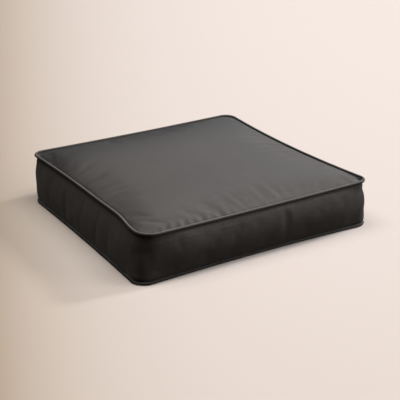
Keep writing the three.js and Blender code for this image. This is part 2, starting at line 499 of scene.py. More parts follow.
# %% [markdown]
# The cover is built from the top down: the top panel first, then the boxing from the top
# panel's edge, and last the bottom panel. Neighbours share their rings, so the cover is
# one closed skin, as air pressure in the simulation needs it.

# %% Top panel, boxing and bottom panel in one skin
TOP, BOXING, BOTTOM = range(3)


def add_top(skin):
    """The top panel's rings and grid; returns the ring at its seam."""
    edges = [skin.add(ring(top_line, row.away, row.out), row.away * MM, sewn=row.away < SEWN_TO)
             for row in PANEL_EDGE]
    edges += [skin.add(on_top(ring(top_line, inset, 0)), inset * MM) for inset in PANEL_RINGS[:-1]]
    grid = inner_grid(ring(top_line, PANEL_RINGS[-1], 0), CELLS)
    index = skin.add(on_top(grid.reshape(-1, 3)).reshape(grid.shape))
    edges.append(grid_edge(index))
    for outer, inner in zip(edges, edges[1:]):
        skin.band(outer, inner, TOP)
    skin.grid(index, TOP)
    return edges[0]


def add_boxing(skin, above):
    """The boxing's rings from under the top welt; returns the one over the lower welt."""
    fractions = crowded(CELLS)[:-1]
    for share in boxing_shares():
        points = top_seam * (1 - share) + bottom_seam * share
        way = top_out * (1 - share) + bottom_out * share
        points = points + way * boxing_out(share, fractions)[:, None]
        near_seam = min(share, 1 - share) * SEAM_GAP < SEWN_TO
        below = skin.add(points, -share * SEAM_GAP * MM, sewn=near_seam)
        skin.band(below, above, BOXING)
        above = below
    return above


def add_bottom(skin, edge):
    """The bottom panel: a few rings, then a grid of half as many cells, flat on the floor."""
    for row in BOTTOM_EDGE:
        points = ring(bottom_line, row.away, row.out)
        points[:, 2] = np.maximum(points[:, 2], FLOOR_GAP)
        inner = skin.add(points, -(SEAM_GAP + row.away) * MM, sewn=True)
        skin.band(inner, edge, BOTTOM)
        edge = inner
    last = ring(bottom_line, PANEL_RINGS[-1], 0)[::2]
    last[:, 2] = FLOOR_GAP
    index = skin.add(inner_grid(last, CELLS // 2), sewn=True)
    inner = grid_edge(index)
    for i in range(len(inner)):
        j = (i + 1) % len(inner)
        a, b, c = edge[2 * i], edge[2 * i + 1], edge[(2 * i + 2) % len(edge)]
        skin.face((a, inner[i], b), BOTTOM)
        skin.face((b, inner[i], inner[j]), BOTTOM)
        skin.face((b, inner[j], c), BOTTOM)
    skin.grid(index, BOTTOM, flip=True)


skin = Skin()
add_bottom(skin, add_boxing(skin, add_top(skin)))
cage = skin.mesh("cushion_cover")
cover = bpy.data.objects.new("cushion_cover", cage)
bpy.context.scene.collection.objects.link(cover)
print("cover cage", len(cage.vertices), "points,", len(cage.polygons), "faces")

# %% [markdown]
# Cloth is cut flat before it is sewn, and its weave follows the cut. The first map below
# holds each piece of cloth as it was cut, in metres: the panels lie square to the axes,
# and the boxing is unrolled from its first corner. The second holds how far round the
# seam a point is, and how far in from it, for whatever runs along the welts.

# %% Maps of the cut cloth
def distances_round(points):
    """How far round a closed ring each of its points is, and last its whole length."""
    steps = np.linalg.norm(np.roll(points, -1, 0) - points, axis=1)
    return np.concatenate([[0], np.cumsum(steps)])


def write_map(mesh, name, values):
    layer = mesh.uv_layers.new(name=name)
    layer.data.foreach_set("uv", np.asarray(values, np.float32).ravel())


def map_cover(mesh, skin):
    """The cloth as it was cut, and its place round the seam and in from it."""
    points = np.vstack(skin.points)
    station, past_seam = np.array(skin.station), np.array(skin.past_seam)
    round_seam = distances_round(top_seam)
    as_cut, by_seam = [], []
    for corners, region in zip(skin.faces, skin.regions):
        at = station[corners]
        if at.max() == len(top_seam) - 1 and at.min() == 0:
            at = np.where(at == 0, len(top_seam), at)
        beside = np.stack([round_seam[at], past_seam[corners]], 1)
        flat = points[corners][:, :2] * (1, -1 if region == BOTTOM else 1)
        as_cut.append(beside if region == BOXING else flat)
        by_seam.append(beside)
    write_map(mesh, "weave", np.vstack(as_cut))
    write_map(mesh, "by_seam", np.vstack(by_seam))


map_cover(cage, skin)

# %% [markdown]
# ## Creases
# Cloth that is eased onto a shorter seam gathers into small puckers. On a cushion they
# are short, lean a little and are never evenly spaced. The ones that show are listed one by
# one in a table, in millimetres from the middle of their side, and the two hidden sides
# get the same kind from a seeded draw.

# %% Tables of creases
Crease = namedtuple("Crease", "side at reach lean width depth")
PUCKERS = [
    Crease(FRONT, -226, 19, 0.35, 4.1, 2.4),
    Crease(FRONT, -208, 24, 0.35, 4.1, 3.1),
    Crease(FRONT, -189, 26, 0.35, 3.9, 2.8),
    Crease(FRONT, -170, 29, 0.35, 4.1, 3.3),
    Crease(FRONT, -152, 24, 0.3, 3.7, 2.4),
    Crease(FRONT, -133, 30, 0.35, 4.4, 3.4),
    Crease(FRONT, -113, 24, 0.3, 3.9, 2.5),
    Crease(FRONT, -93, 33, 0.3, 4.8, 3.7),
    Crease(FRONT, -71, 24, 0.25, 3.7, 2.2),
    Crease(FRONT, -51, 28, 0.25, 4.6, 0.8),
    Crease(FRONT, -28, 24, 0.2, 4.2, 0.6),
    Crease(FRONT, -5, 22, 0.2, 4.2, 0.5),
    Crease(FRONT, 20, 20, 0.1, 4.6, 0.3),
    Crease(FRONT, 47, 30, 0.05, 3.4, 0.8),
    Crease(FRONT, 84, 20, 0.1, 5, 0.3),
    Crease(FRONT, 112, 18, 0, 5, 0.2),
    Crease(FRONT, 140, 22, 0, 5, 0.3),
    Crease(FRONT, 181, 22, -0.1, 5, 0.4),
    Crease(FRONT, 210, 20, -0.2, 5, 0.3),
    Crease(LEFT, -213, 36, 0.2, 9, 0.9),
    Crease(LEFT, -176, 38, 0, 7, 0.6),
    Crease(LEFT, -151, 46, 0, 7, 0.9),
    Crease(LEFT, -113, 52, 0.1, 8, 1.0),
    Crease(LEFT, -76, 36, 0, 7, 0.5),
    Crease(LEFT, -40, 56, 0.1, 9, 1.1),
    Crease(LEFT, 6, 50, 0.1, 7, 0.8),
    Crease(LEFT, 34, 34, 0, 6, 0.5),
    Crease(LEFT, 58, 44, 0.1, 6, 0.8),
    Crease(LEFT, 88, 50, 0.1, 7, 0.9),
    Crease(LEFT, 120, 42, 0.1, 6, 0.8),
    Crease(LEFT, 156, 46, 0.1, 7, 0.9),
    Crease(LEFT, 205, 34, -0.2, 8, 0.3),
]
SPACING = (16, 42)         # millimetres between puckers on a hidden side
LAST_PUCKER = 230          # millimetres from the middle of the side
HIDDEN_PUCKER = ((24, 44), (-0.2, 0.3), (4, 7), (0.1, 0.35))            # from reach to depth
draw = np.random.default_rng(11)
for hidden in (RIGHT, BACK):
    place = -LAST_PUCKER + draw.uniform(*SPACING)
    while place < LAST_PUCKER:
        drawn = [draw.uniform(low, high) for low, high in HIDDEN_PUCKER]
        PUCKERS.append(Crease(hidden, place, *drawn))
        place += draw.uniform(*SPACING)
print(len(PUCKERS), "puckers")

# %% [markdown]
# A trough takes cloth from beside it, so each one has a raised shoulder on both sides.
# It starts at the stitches, is deepest a finger's width in, and dies out over its reach.

# %% Press the creases in
SHOULDER = 0.45            # how high the cloth is raised beside a trough
STITCHES = 2.5 * MM        # how far the stitches hold the cloth down
RUN_IN = 5 * MM            # from there to where a pucker is deepest
FULL_TO = 0.25             # share of its reach where it starts to die out


def trough(across, width):
    """A soft trough with shoulders: -1 in its middle, a little over 0 beside it."""
    across = across / width
    return -np.exp(-across ** 2 / 2) + SHOULDER * np.exp(-across ** 2 / 8)


def pucker_depths(points):
    """How far each point of the top panel moves for all the puckers together."""
    moved = np.zeros(len(points))
    for side, line in enumerate(top_lines):
        gap, along = distance_to_line(points, line)
        for crease in PUCKERS:
            if crease.side == side:
                across = along - (crease.at * MM + crease.lean * gap)
                reach = crease.reach * MM
                fade = (smooth_step(gap, STITCHES, STITCHES + RUN_IN)
                        * (1 - smooth_step(gap, FULL_TO * reach, reach)))
                moved += crease.depth * MM * fade * trough(across, crease.width * MM)
    return moved


def mesh_points(mesh):
    points = np.empty(len(mesh.vertices) * 3)
    mesh.vertices.foreach_get("co", points)
    return points.reshape(-1, 3)


def mesh_normals(mesh):
    normals = np.empty(len(mesh.vertices) * 3)
    mesh.vertex_normals.foreach_get("vector", normals)
    return normals.reshape(-1, 3)


def points_of_region(mesh, region):
    """A mask of the points that belong to a region's faces."""
    mask = np.zeros(len(mesh.vertices), bool)
    values = np.empty(len(mesh.polygons), int)
    mesh.attributes["region"].data.foreach_get("value", values)
    corners = np.empty(len(mesh.loops), int)
    mesh.loops.foreach_get("vertex_index", corners)
    sizes = np.empty(len(mesh.polygons), int)
    mesh.polygons.foreach_get("loop_total", sizes)
    mask[corners[np.repeat(values, sizes) == region]] = True
    return mask


def press_puckers(mesh, strength):
    """Move the top panel's points along their normals for the puckers."""
    points, normals = mesh_points(mesh), mesh_normals(mesh)
    top = points_of_region(mesh, TOP)
    points[top] += normals[top] * (strength * pucker_depths(points[top]))[:, None]
    mesh.vertices.foreach_set("co", points.ravel())
    mesh.update()


# %% [markdown]
# ## Let the filling press
# The cage is too even for cloth. Blender's cloth simulation takes it from there, on a
# copy that is remeshed to cells of one size, because cloth folds along any line where
# its cells change. The seams and the underside are pinned, air pressure stands for the
# filling, and the cloth is a little longer than the shape that it starts from, so that
# it has to buckle. It is stopped after a few frames. Only the movement is taken over to
# the cage, and no point may go further than a cap. Sculpting could give the same look,
# but a simulation gives it evenly all round and the same way each time.

# %% A copy with even cells
VOXEL = 5 * MM
HELD = 0.06                # how firmly the filling holds the middle of the top
HELD_FROM = (30 * MM, 100 * MM)                             # where that hold starts and is full
PINNED_TO = 5 * MM         # cloth nearer to a seam than this doesn't move
FREE_FROM = 11 * MM
ON_THE_FLOOR = 2 * MM


def remeshed(mesh, name):
    """A copy of a mesh with even cells, as a linked object."""
    copy = bpy.data.objects.new(name, mesh)
    bpy.context.scene.collection.objects.link(copy)
    voxels = copy.modifiers.new("even cells", "REMESH")
    voxels.mode = "VOXEL"
    voxels.voxel_size = VOXEL
    evaluated = copy.evaluated_get(bpy.context.evaluated_depsgraph_get())
    even = bpy.data.meshes.new_from_object(evaluated)
    copy.modifiers.remove(voxels)
    copy.data = even
    return copy


def tree_of(points):
    """A search tree for the points nearest to a place."""
    tree = KDTree(len(points))
    for i, point in enumerate(points):
        tree.insert(point, i)
    tree.balance()
    return tree


def pin_weights(points):
    """1 where cloth is sewn down or lies on the floor, a little in the middle of the top."""
    seams = tree_of(np.vstack([top_seam, bottom_seam]))
    to_seam = np.array([seams.find(point)[2] for point in points])
    from_edge = np.min([distance_to_line(points, line)[0] for line in top_lines], axis=0)
    on_top_panel = points[:, 2] > TOP_SEAM_Z - 10 * MM
    held = HELD * smooth_step(from_edge, *HELD_FROM) * on_top_panel
    sewn = 1 - smooth_step(to_seam, PINNED_TO, FREE_FROM)
    return np.where(points[:, 2] < ON_THE_FLOOR, 1, np.maximum(held, sewn)).round(2)


# %% [markdown]
# The pins are a vertex group, one weight at a time. The cloth modifier reads it, and the
# frames are stepped through in order, because each one starts where the last one ended.

# %% Simulate the cloth
FRAMES = 20
PRESSURE = 2.5
EASE = 0.006               # the cloth's spare length, as a share
CLOTH_MASS = 0.3           # of each point, as Blender counts it
STIFFNESS = 0.5            # against bending
QUALITY = 5                # steps worked out for each frame


def simulate(piece, weights):
    """Run the cloth on a piece and return the points where it ends."""
    pins = piece.vertex_groups.new(name="sewn")
    for weight in np.unique(weights[weights > 0]):
        pins.add(np.nonzero(weights == weight)[0].tolist(), float(weight), "REPLACE")
    filling = piece.modifiers.new("filling", "CLOTH")
    cloth = filling.settings
    cloth.vertex_group_mass = pins.name
    cloth.quality = QUALITY
    cloth.mass = CLOTH_MASS
    cloth.bending_stiffness = STIFFNESS
    cloth.use_pressure = True
    cloth.uniform_pressure_force = PRESSURE
    cloth.shrink_min = -EASE
    cloth.effector_weights.gravity = 0
    filling.collision_settings.use_collision = False
    filling.point_cache.frame_end = FRAMES
    for frame_number in range(1, FRAMES + 1):
        bpy.context.scene.frame_set(frame_number)
    settled = piece.evaluated_get(bpy.context.evaluated_depsgraph_get())
    points = mesh_points(settled.to_mesh())
    settled.to_mesh_clear()
    bpy.context.scene.frame_set(1)
    return points


# %% [markdown]
# The even copy and the cage don't share their points. Each point of the cage takes the
# movements of the nearest few points of the copy, the nearest of them counting most.

# %% Carry the movement over to the cage
PRESSED_FIRST = 0.6        # share of the puckers that is there before the simulation
CAP = 4 * MM
NEIGHBOURS = 6
NEAREST = 0.5 * MM         # added to each distance, so that none counts without limit


def capped(moves):
    """Movements with their length drawn smoothly under the cap."""
    size = np.linalg.norm(moves, axis=1)
    return moves * (CAP * np.tanh(size / CAP) / np.maximum(size, 1e-9))[:, None]


def carried_over(points, start, moves):
    """Movements of the nearest points of another mesh, weighted by how near they are."""
    tree = tree_of(start)
    found = np.zeros_like(points)
    for i, point in enumerate(points):
        near = tree.find_n(point, NEIGHBOURS)
        weights = np.array([1 / (distance + NEAREST) ** 2 for _, _, distance in near])
        found[i] = weights @ moves[[j for _, j, _ in near]] / weights.sum()
    return found


press_puckers(cage, PRESSED_FIRST)
trial = remeshed(cage, "trial")
start = mesh_points(trial.data)
moves = capped(simulate(trial, pin_weights(start)) - start)
bpy.data.objects.remove(trial)
before = mesh_points(cage)
held_still = np.zeros(len(before), bool)
held_still[skin.sewn] = True
found = carried_over(before, start, moves)
found[held_still] = 0
cage.vertices.foreach_set("co", (before + found).ravel())
cage.update()
size = np.linalg.norm(found, axis=1) / MM
print(f"{len(start)} cloth points moved {size.mean():.1f} mm, {size.max():.1f} mm at most")

# %% [markdown]
# Subdivision halves the cells and rounds the skin between its points. The rest of the
# puckers is pressed in after it, because the simulation and the subdivision both soften
# what was there before them.

# %% Finer mesh
finer = cover.modifiers.new("finer", "SUBSURF")
finer.levels = finer.render_levels = 1
evaluated = cover.evaluated_get(bpy.context.evaluated_depsgraph_get())
cover_mesh = bpy.data.meshes.new_from_object(evaluated)
cover.modifiers.remove(finer)
cover.data = cover_mesh
cover_mesh.name = "cushion_cover"
press_puckers(cover_mesh, 1 - PRESSED_FIRST)
print("cover", sum(len(p.vertices) - 2 for p in cover_mesh.polygons), "triangles")


# %% [markdown]
# ## Welts
# A welt is a cord wrapped in a strip of the same cloth, cut on the bias so that it bends
# round the corners. It follows a path and nothing else, so Geometry Nodes make it: the
# seam becomes a curve, a circle is swept along it, and a slow noise makes it a little
# thicker and thinner, as wrapped cord is. One tree serves both seams.

# %% A tree that wraps a cord along a seam
WELT_CELLS = 200           # steps along one side
WELT_SIDES = 20            # sides of its circle
WELT_UNEVEN = 0.035        # how much the thickness wanders, as a share
WELT_LUMP = 26 * MM        # how long a thicker or thinner stretch is
NOISE_SWING = 4.0          # noise mostly stays within a quarter of its middle


def nodes_of(tree):
    """A helper that adds nodes to a tree: sockets take a number or another node's output."""
    def add(kind, settings=None, **sockets):
        made = tree.nodes.new(kind)
        for name, value in (settings or {}).items():
            setattr(made, name, value)
        for name, value in sockets.items():
            key = int(name[1:]) if name[0] == "_" else name.replace("_", " ")
            if isinstance(value, bpy.types.NodeSocket):
                tree.links.new(value, made.inputs[key])
            else:
                made.inputs[key].default_value = value
        return made
    return add


def calculator(add, kind="ShaderNodeMath"):
    """A helper for sums in a tree, from the helper that adds nodes."""
    def work_out(operation, *values):
        sockets = {f"_{i}": value for i, value in enumerate(values)}
        return add(kind, {"operation": operation}, **sockets).outputs[0]
    return work_out


def welt_tree():
    """The node tree that turns a closed line of edges into a welt."""
    tree = bpy.data.node_groups.new("welt_along_a_seam", "GeometryNodeTree")
    sockets = (("Seam", "NodeSocketGeometry", None), ("Radius", "NodeSocketFloat", WELT_RADIUS),
               ("Sides", "NodeSocketInt", WELT_SIDES), ("Uneven", "NodeSocketFloat", WELT_UNEVEN),
               ("Lump", "NodeSocketFloat", WELT_LUMP), ("Seed", "NodeSocketInt", 0),
               ("Cloth", "NodeSocketMaterial", None))
    for name, kind, value in sockets:
        socket = tree.interface.new_socket(name, in_out="INPUT", socket_type=kind)
        if value is not None:
            socket.default_value = value
    tree.interface.new_socket("Welt", in_out="OUTPUT", socket_type="NodeSocketGeometry")
    add = nodes_of(tree)
    sums = calculator(add)
    given = add("NodeGroupInput").outputs
    curve = add("GeometryNodeMeshToCurve", Mesh=given["Seam"]).outputs["Curve"]
    level = add("GeometryNodeSetCurveNormal", {"mode": "Z_UP"}, Curve=curve).outputs["Curve"]
    lumps = add("ShaderNodeTexNoise", {"noise_dimensions": "4D"}, W=given["Seed"], Detail=1.0,
                Scale=sums("DIVIDE", 1.0, given["Lump"])).outputs[0]
    swing = sums("MULTIPLY", given["Uneven"], NOISE_SWING)
    wander = sums("MULTIPLY", sums("SUBTRACT", lumps, 0.5), swing)
    thickness = sums("ADD", wander, 1.0)
    profile = add("GeometryNodeCurvePrimitiveCircle", Resolution=given["Sides"],
                  Radius=given["Radius"]).outputs["Curve"]
    swept = add("GeometryNodeCurveToMesh", Curve=level, Profile_Curve=profile, Scale=thickness)
    smooth = add("GeometryNodeSetShadeSmooth", Geometry=swept.outputs[0]).outputs[0]
    real = add("GeometryNodeRealizeInstances", Geometry=smooth).outputs[0]
    clad = add("GeometryNodeSetMaterial", Geometry=real, Material=given["Cloth"]).outputs[0]
    add("NodeGroupOutput", Welt=clad)
    return tree


# %% [markdown]
# The modifier's inputs are set by their identifiers before it is first evaluated, and its
# result is taken over as a plain mesh. The map for its cloth is worked out from the order
# of the points: one ring of them after another. A last attribute holds painted light: above
# 0 a painted highlight on the crest that faces up, below 0 painted shade. Its tables give
# shares round the seam, where 0 is the first corner, 1 the second one and so on.

# %% Both welts
CREST_POWER = 7            # higher keeps the painted highlight on the crest narrower
SHADED_SIDES = 0.35        # how much painted shade a welt gets on its sides


def seam_loop(name, points):
    """A closed line of edges through a ring of points."""
    edges = [(i, (i + 1) % len(points)) for i in range(len(points))]
    mesh = bpy.data.meshes.new(name)
    mesh.from_pydata(points.tolist(), edges, [])
    piece = bpy.data.objects.new(name, mesh)
    bpy.context.scene.collection.objects.link(piece)
    return piece


def map_welt(mesh, seam):
    """How far along the welt and how far round the cord, in metres, with both ends closed."""
    along = distances_round(seam)
    around = np.linspace(0, 2 * math.pi * WELT_RADIUS, WELT_SIDES + 1)
    values = []
    for polygon in mesh.polygons:
        at = np.array(polygon.vertices)
        ring_of, side_of = at // WELT_SIDES, at % WELT_SIDES
        ring_of = np.where((np.ptp(ring_of) > 1) & (ring_of == 0), len(seam), ring_of)
        side_of = np.where((np.ptp(side_of) > 1) & (side_of == 0), WELT_SIDES, side_of)
        values.append(np.stack([along[ring_of], around[side_of]], 1))
    write_map(mesh, "weave", np.vstack(values))


def write_painted_light(mesh, light_shares):
    """Painted highlight on a welt's crest and painted shade on its sides, from shares round it."""
    upward = np.clip(mesh_normals(mesh)[:, 2], 0, 1)
    place = np.arange(len(upward)) // WELT_SIDES / WELT_CELLS
    share = np.interp(place, *zip(*light_shares))
    crest = share * upward ** CREST_POWER - SHADED_SIDES * (1 - upward)
    layer = mesh.attributes.new("worn", "FLOAT", "POINT")
    layer.data.foreach_set("value", np.where(share > 0, crest, share).astype(np.float32))


def welt(name, seam, tree, cloth, seed, light_shares):
    """Sweep a welt along a seam and keep it as a plain mesh; light_shares paint light round it."""
    piece = seam_loop(name, seam)
    sweep = piece.modifiers.new("welt", "NODES")
    sweep.node_group = tree
    inputs = {item.name: item.identifier for item in tree.interface.items_tree
              if item.in_out == "INPUT"}
    for label, value in (("Radius", WELT_RADIUS), ("Sides", WELT_SIDES), ("Uneven", WELT_UNEVEN),
                         ("Lump", WELT_LUMP), ("Seed", seed), ("Cloth", cloth)):
        sweep[inputs[label]] = value
    evaluated = piece.evaluated_get(bpy.context.evaluated_depsgraph_get())
    mesh = bpy.data.meshes.new_from_object(evaluated)
    piece.modifiers.remove(sweep)
    piece.data = mesh
    mesh.name = name
    map_welt(mesh, seam)
    write_painted_light(mesh, light_shares)
    print(name, len(mesh.polygons), "faces")
    return piece


# %% [markdown]
# ## The canvas
# Outdoor canvas is a plain weave of thick dyed yarn, about a millimetre from yarn to yarn.
# Each yarn goes over one and under the next, so its height is half a wave across it times
# half a wave along it, and the higher of the two crossing yarns is the one that shows. The
# yarns wander and their dye takes unevenly, so each also gets a tone of its own. The cover
# and the welts share these groups and give them their own values.

# %% A group for the weave
DRIFT = 0.11               # how fast the yarns wander off straight, for each yarn
YARN_APART = 7.31          # apart in the noise that gives each yarn its tone
YARN_EVEN = 0.035          # how fast that tone changes along a yarn
MIDDLE = (0.5, 0.5, 0.5)   # of a noise's colour


def group_with(name, inputs, outputs):
    """A shader group with named sockets, its helpers and its input node's outputs."""
    tree = bpy.data.node_groups.new(name, "ShaderNodeTree")
    for label, kind, value in inputs:
        socket = tree.interface.new_socket(label, in_out="INPUT", socket_type=kind)
        if value is not None:
            socket.default_value = value
    for label in outputs:
        tree.interface.new_socket(label, in_out="OUTPUT", socket_type="NodeSocketFloat")
    add = nodes_of(tree)
    return tree, add, calculator(add), add("NodeGroupInput").outputs


def plain_weave():
    """A plain weave: its height, 0 to 1, and each yarn's tone, a little either side of 0."""
    tree, add, sums, given = group_with(
        "plain_weave",
        (("Cloth", "NodeSocketVector", None), ("Yarn", "NodeSocketFloat", 1 * MM),
         ("Turn", "NodeSocketFloat", 0.0), ("Wander", "NodeSocketFloat", 0.3)),
        ("Height", "Tone"))
    turned = add("ShaderNodeVectorRotate", {"rotation_type": "Z_AXIS"}, Vector=given["Cloth"],
                 Angle=given["Turn"]).outputs[0]
    in_yarns = add("ShaderNodeVectorMath", {"operation": "SCALE"}, _0=turned,
                   Scale=sums("DIVIDE", 1.0, given["Yarn"])).outputs[0]
    drift = add("ShaderNodeTexNoise", Vector=in_yarns, Scale=DRIFT, Detail=2.0).outputs["Color"]
    centred = add("ShaderNodeVectorMath", {"operation": "SUBTRACT"}, _0=drift,
                  _1=MIDDLE).outputs[0]
    moved = add("ShaderNodeVectorMath", {"operation": "SCALE"}, _0=centred,
                Scale=given["Wander"]).outputs[0]
    placed = add("ShaderNodeVectorMath", {"operation": "ADD"}, _0=in_yarns, _1=moved).outputs[0]
    split = add("ShaderNodeSeparateXYZ", Vector=placed).outputs
    across, along = (sums("MULTIPLY", split[axis], math.pi) for axis in ("X", "Y"))
    heights = []
    for here, there, way in ((across, along, 0.5), (along, across, -0.5)):
        wave = sums("SINE", here)
        over = sums("MULTIPLY", sums("MULTIPLY", wave, sums("COSINE", there)), way)
        heights.append(sums("MULTIPLY_ADD", sums("ABSOLUTE", wave), 0.5, over))
    warp, weft = heights
    tones = []
    for own, other in (("X", "Y"), ("Y", "X")):
        number = sums("FLOOR", split[own])
        place = add("ShaderNodeCombineXYZ", X=sums("MULTIPLY", number, YARN_APART),
                    Y=sums("MULTIPLY", split[other], YARN_EVEN)).outputs[0]
        tones.append(add("ShaderNodeTexNoise", Vector=place, Scale=1.0, Detail=1.0).outputs[0])
    warp_up = sums("GREATER_THAN", warp, weft)
    tone = add("ShaderNodeMix", {"data_type": "FLOAT"}, _0=warp_up, _2=tones[1],
               _3=tones[0]).outputs[0]
    add("NodeGroupOutput", Height=sums("MAXIMUM", warp, weft), Tone=sums("SUBTRACT", tone, 0.5))
    return tree


# %% [markdown]
# Filled cloth is never quite smooth between its creases either. Under a raking light it
# shows faint dents a few centimetres wide, and short ripples that run square to a seam,
# where the stitches take up a little cloth each. Both are too slight for the mesh, so
# they are bump. Sun and handling also leave the dye paler in slow patches.

# %% Groups for dents, ripples and fading
RIPPLE_EVEN = 14.0         # how fast a ripple changes on its way in from the seam, a metre


def faint_dents():
    """Slow dents, a little either side of 0."""
    tree, add, sums, given = group_with(
        "faint_dents",
        (("Place", "NodeSocketVector", None), ("Size", "NodeSocketFloat", 30 * MM)),
        ("Height",))
    noise = add("ShaderNodeTexNoise", Vector=given["Place"], Detail=2.5, Roughness=0.45,
                Scale=sums("DIVIDE", 1.0, given["Size"])).outputs[0]
    add("NodeGroupOutput", Height=sums("SUBTRACT", noise, 0.5))
    return tree


def seam_ripples():
    """Ripples that run square to a seam and die out over their reach."""
    tree, add, sums, given = group_with(
        "seam_ripples",
        (("By Seam", "NodeSocketVector", None), ("Spacing", "NodeSocketFloat", 7 * MM),
         ("Reach", "NodeSocketFloat", 16 * MM)),
        ("Height",))
    split = add("ShaderNodeSeparateXYZ", Vector=given["By Seam"]).outputs
    place = add("ShaderNodeCombineXYZ", X=sums("DIVIDE", split["X"], given["Spacing"]),
                Y=sums("MULTIPLY", split["Y"], RIPPLE_EVEN)).outputs[0]
    noise = add("ShaderNodeTexNoise", Vector=place, Scale=1.0, Detail=1.0).outputs[0]
    away = sums("ABSOLUTE", split["Y"])
    fade = sums("MAXIMUM", sums("SUBTRACT", 1.0, sums("DIVIDE", away, given["Reach"])), 0.0)
    add("NodeGroupOutput", Height=sums("MULTIPLY", sums("SUBTRACT", noise, 0.5), fade))
    return tree


def faded_dye():
    """Pale and dark patches, and smaller flecks, both a little either side of 0."""
    tree, add, sums, given = group_with(
        "faded_dye",
        (("Place", "NodeSocketVector", None), ("Patch", "NodeSocketFloat", 90 * MM),
         ("Fleck", "NodeSocketFloat", 5 * MM)),
        ("Patches", "Flecks"))
    tones = {}
    for size, detail, label in (("Patch", 3.0, "Patches"), ("Fleck", 2.0, "Flecks")):
        noise = add("ShaderNodeTexNoise", Vector=given["Place"], Detail=detail,
                    Scale=sums("DIVIDE", 1.0, given[size])).outputs[0]
        tones[label] = sums("SUBTRACT", noise, 0.5)
    add("NodeGroupOutput", **tones)
    return tree


# %% [markdown]
# Two things run along the seams. The turned-in edge of the cloth, the seam's allowance,
# shows through under the welt as a faint line that comes and goes. Painted shade darkens
# the grooves beside both welts. Both read the second map, whose Y is 0 on the top seam and
# falls to the bottom one, and a bell curve across Y gives each its width.

# %% Groups for what runs along a seam
LINE_WANDER = 3 * MM       # how far the allowance's edge strays
LINE_CHANGES = 9.0         # how often it strays, a metre
LINE_GAPS = (4.0, -1.7)    # the line shows where its noise times the first is over the second


def bell(sums, off):
    """1 where off is 0, falling away on both sides."""
    return sums("EXPONENT", sums("MULTIPLY", sums("MULTIPLY", off, off), -1.0))


def allowance_line():
    """The raised line of the seam's allowance behind the boxing."""
    tree, add, sums, given = group_with(
        "allowance_line",
        (("By Seam", "NodeSocketVector", None), ("Down", "NodeSocketFloat", 17 * MM),
         ("Width", "NodeSocketFloat", 1.6 * MM)),
        ("Height",))
    split = add("ShaderNodeSeparateXYZ", Vector=given["By Seam"]).outputs
    wander = add("ShaderNodeTexNoise", {"noise_dimensions": "1D"}, Scale=1.0, Detail=1.0,
                 W=sums("MULTIPLY", split["X"], LINE_CHANGES)).outputs[0]
    middle = sums("MULTIPLY_ADD", wander, LINE_WANDER, given["Down"])
    line = bell(sums, sums("DIVIDE", sums("ADD", split["Y"], middle), given["Width"]))
    seen = sums("MAXIMUM", sums("MULTIPLY_ADD", wander, *LINE_GAPS), 0.0)
    add("NodeGroupOutput", Height=sums("MULTIPLY", line, sums("MINIMUM", seen, 1.0)))
    return tree


def groove_dirt():
    """Painted shade in the grooves beside both seams, 1 where it is darkest."""
    tree, add, sums, given = group_with(
        "groove_dirt",
        (("By Seam", "NodeSocketVector", None), ("Reach", "NodeSocketFloat", 5 * MM),
         ("Seams Apart", "NodeSocketFloat", SEAM_GAP * MM)),
        ("Dirt",))
    split = add("ShaderNodeSeparateXYZ", Vector=given["By Seam"]).outputs
    to_bottom = sums("ADD", split["Y"], given["Seams Apart"])
    grooves = [bell(sums, sums("DIVIDE", away, given["Reach"])) for away in (split["Y"], to_bottom)]
    add("NodeGroupOutput", Dirt=sums("ADD", *grooves))
    return tree


PLAIN_WEAVE = plain_weave()
FAINT_DENTS = faint_dents()
SEAM_RIPPLES = seam_ripples()
FADED_DYE = faded_dye()
ALLOWANCE_LINE = allowance_line()
PAINTED_GROOVE_SHADE = groove_dirt()
print(len(bpy.data.node_groups), "node groups")

# %% [markdown]
# Each material adds its groups up to one number that runs from the darkest to the palest
# dye, and to one height in metres for its bump. The values that are the same all over,
# such as the sheen of the yarn's fuzz, are set on the shader itself.

# %% A dyed canvas
YARN = 1.05 * MM
YARN_WANDER = 0.5          # yarns
YARN_RELIEF = 0.22 * MM
DENT_SIZE = 34 * MM
DENT_RELIEF = 0.35 * MM
PATCH, FLECK = 110 * MM, 4 * MM
MIDDLE_TONE = 0.42         # the cloth's own place between the two dyes
TONE_OF_YARN, SHADE_OF_WEAVE_HEIGHT, TONE_OF_PATCH, TONE_OF_FLECK = 1.1, 0.35, 0.5, 0.35
LEVEL_HEIGHT = 0.6         # of the weave, where its height leaves the tone as it is
DARK_DYE = (0.035, 0.031, 0.0283, 1)
PALE_DYE = (0.092, 0.080, 0.073, 1)
ROUGHNESS, ROUGHNESS_OF_YARN = 0.48, 0.12
SPECULAR, SHEEN, SHEEN_ROUGHNESS = 0.42, 0.08, 0.5


def mixed(add, share, first, second):
    """The first colour where the share is 0 and the second where it is 1, or past them."""
    return add("ShaderNodeMix", {"data_type": "RGBA", "clamp_factor": True}, _0=share,
               _6=first, _7=second).outputs[2]


